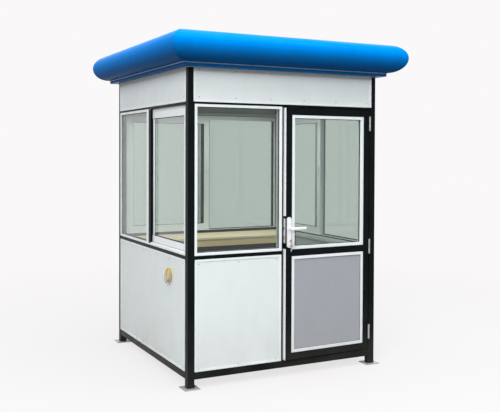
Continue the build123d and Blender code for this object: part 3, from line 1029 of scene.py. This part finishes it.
def make_sash_tracks():
    """The sill's raised running rail, its drain covers and the sash's interlock profile."""
    shape = bmesh.new()
    drains = (0.16, 0.56)  # places of the drain covers along the sill
    for name, wall in WINDOW_WALLS.items():
        sash_low, sash_high = solids(name + "_sliding_sash", wall)[0]
        pane_low, pane_high = solids(name + "_window_glass", wall)[1]
        foot, top = pane_low.y - 0.5 * MM, pane_high.y + 0.5 * MM
        face, rail = sash_high.z, sash_high.z + 7 * MM
        pane = face - SASH_REBATE
        bar(
            shape,
            wall,
            (MULLION + 1 * MM, foot, pane),
            (INTERLOCK - 1 * MM, top, face - 1.5 * MM),
            1 * MM,
        )
        bar(
            shape,
            wall,
            (INTERLOCK - 7 * MM, foot, pane),
            (INTERLOCK, top, face - 0.2 * MM),
            0.8 * MM,
        )
        bar(
            shape,
            wall,
            (MULLION + 2 * MM, sash_low.y - 0.5 * MM, rail),
            (sash_high.x - 1 * MM, sash_low.y + 5 * MM, rail + 2 * MM),
            0.4 * MM,
        )
        for x in drains:
            bar(
                shape,
                wall,
                (x - 15 * MM, sash_low.y - 11 * MM, 2.9 * MM),
                (x + 15 * MM, sash_low.y - 5 * MM, 4.6 * MM),
                0.7 * MM,
            )
    make_piece(
        "sash_tracks", shape, MATERIALS["white_aluminium"], "cabin"
    )


def make_latch_screws():
    """Two screws in the plate of each window latch."""
    shape = bmesh.new()
    for wall in WINDOW_WALLS.values():
        room_side = wall @ Matrix.Rotation(pi, 4, "Y")
        low, high = max(solids("window_latches", wall), key=lambda corners: corners[0].z)
        middle = (low + high) / 2
        plate = 5 * MM - high.z
        for y in (middle.y - 30 * MM, middle.y + 30 * MM):
            screw(shape, room_side, -middle.x, y, plate, 3 * MM, 1.2 * MM)
    make_piece("latch_screws", shape, MATERIALS["bare_steel"], "cabin")


make_window_seals()
make_front_liner()
make_sash_seals()
make_sash_tracks()
make_latch_screws()


# ---- roof ------------------------------------------------------------------------------
def sealant_joint(name, material, reach, top, profile):
    """A bead of sealant around the booth, that far from its middle and below that height.

    profile lists the points of its section: how far out and how far down, in millimetres.
    """
    shape = bmesh.new()
    section = [(-out * MM, top - down * MM) for out, down in profile]
    frame_ring(shape, LEVEL, (-reach, reach, -reach, reach), section)
    make_piece(name, shape, material, "cabin")


deck_low, deck_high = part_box("roof_deck")
trim_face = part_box("panel_trims")[1][0]
sealant_joint(
    "fascia_sealant",
    SEALANT,
    trim_face,
    deck_low[2],
    ((-0.3, -0.2), (5, -0.2), (3.2, 2), (-0.3, 5)),
)
# the roof's bead is pale as a painted highlight under the cap as well as being sealant
sealant_joint(
    "roof_sealant_highlight",
    ROOF_SEALANT_HIGHLIGHT,
    deck_high[0],
    deck_high[2],
    ((-0.3, -0.4), (2.4, -0.4), (3.4, 1), (2.6, 5), (-0.3, 6.5)),
)


# ---- door ------------------------------------------------------------------------------
LEVER = LEAF.inverted() @ Vector(joints["lever_turn"]["pos_m"])
LOCK_FACE, LOCK_PLATE = solids("door_lock", LEAF)[:2]
BOLT = LOCK_FACE[0].y + 36 * MM  # height of the lock's dead bolt


def make_door_seals():
    """Black rubber around the door's glass and its lower panel."""
    shape = bmesh.new()
    pane = solids("door_glass", LEAF)[0]
    glazing_seal(shape, LEAF, pane, outer=True)
    glazing_seal(shape, LEAF, pane, outer=False)
    panel = solids("door_lower_panel", LEAF)[0]
    glazing_seal(shape, LEAF, panel, outer=True, wide=2 * MM, tall=1.5 * MM)
    make_piece("door_seals", shape, RUBBER, "door")


def make_lock_screws():
    """Fixing screws of the lock's plates, its latch tongue and the end of its bolt."""
    shape = bmesh.new()
    leaf = solids("door_leaf_frame", LEAF)[0][0]
    proud = 7.9 * MM  # of the leaf's faces, just under those of the lock plates
    inside = LEAF @ Matrix.Rotation(pi, 4, "Y")
    for y in (LOCK_PLATE[0].y + 10 * MM, LOCK_PLATE[1].y - 10 * MM):
        screw(shape, LEAF, LEVER.x, y, proud, 3.1 * MM, 1 * MM)
        screw(shape, inside, -LEVER.x, y, proud - leaf.z, 3.1 * MM, 1 * MM)
    strip_face = Matrix.Translation((leaf.x - 2 * MM, 0, leaf.z / 2))
    side = LEAF @ strip_face @ Matrix.Rotation(-pi / 2, 4, "Y")
    for y in (LOCK_FACE[0].y + 8 * MM, LOCK_FACE[1].y - 8 * MM):
        screw(shape, side, 0, y, 0, 3.2 * MM, 0.8 * MM)
    for middle, half_wide, half_tall, out in (
        (LEVER.y, 6 * MM, 9 * MM, 1.4 * MM),
        (BOLT, 5 * MM, 12 * MM, 0.7 * MM),
    ):
        bar(
            shape,
            side,
            (-half_wide, middle - half_tall, -0.5 * MM),
            (half_wide, middle + half_tall, out),
        )
    make_piece("lock_screws", shape, MATERIALS["bare_steel"], "door")


def make_strike_plate():
    """A plate on the jamb, open where the lock's bolt and tongue go in."""
    shape = bmesh.new()
    foot, top = LOCK_FACE[0].y - 4 * MM, LOCK_FACE[1].y + 4 * MM
    bolt_foot, bolt_top = BOLT - 16 * MM, BOLT + 16 * MM
    tongue_foot, tongue_top = LEVER.y - 15 * MM, LEVER.y + 15 * MM
    near, inner_near, inner_far, far = 4 * MM, 8 * MM, 30 * MM, 34 * MM
    jamb_side = axes((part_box("door_jamb")[1][0], -HALF, 0), (0, 1, 0), (1, 0, 0))
    for left, low, right, high in (
        (near, foot, inner_near, top),
        (inner_far, foot, far, top),
        (inner_near, foot, inner_far, bolt_foot),
        (inner_near, bolt_top, inner_far, tongue_foot),
        (inner_near, tongue_top, inner_far, top),
    ):
        bar(shape, jamb_side, (left, low, -0.3 * MM), (right, high, 1.2 * MM), 0.2 * MM)
    make_piece("strike_plate", shape, MATERIALS["white_aluminium"], "cabin")


def make_hinge_caps():
    """Domed caps on the top and on the foot of each hinge."""
    upper, lower = bmesh.new(), bmesh.new()
    dome = ((6.6, 0), (6.4, 0.8), (5.2, 1.7), (3, 2.3), (0.3, 2.5))
    cap = [(radius * MM, height * MM, 0) for radius, height in dome]
    for low, high in solids("hinges_door_side", LEVEL):
        lathe(upper, Matrix.Translation((hinge.x, hinge.y, high.z - LET_IN)), cap)
    for low, high in solids("hinges_frame_side", LEVEL):
        foot = Matrix.Translation((hinge.x, hinge.y, low.z + LET_IN))
        lathe(lower, foot @ Matrix.Rotation(pi, 4, "X"), cap)
    make_piece("hinge_caps", upper, MATERIALS["bare_steel"], "door")
    make_piece("hinge_feet", lower, MATERIALS["bare_steel"], "cabin")


def make_lever_collar():
    """A turned collar where the lever leaves its plate."""
    shape = bmesh.new()
    rose = LEAF @ Matrix.Translation((LEVER.x, LEVER.y, 9 * MM))
    profile = ((9.2, 0), (9.2, 1.6), (8.4, 2.4), (8.4, 3.6), (7.4, 4.4), (6.4, 4.6))
    lathe(shape, rose, [(radius * MM, height * MM, 0) for radius, height in profile], 32)
    make_piece("lever_collar", shape, MATERIALS["satin_lock"], "lever")


make_door_seals()
make_lock_screws()
make_strike_plate()
make_hinge_caps()
make_lever_collar()


# ---- last update of the scene ----------------------------------------------------------
bpy.context.view_layer.update()
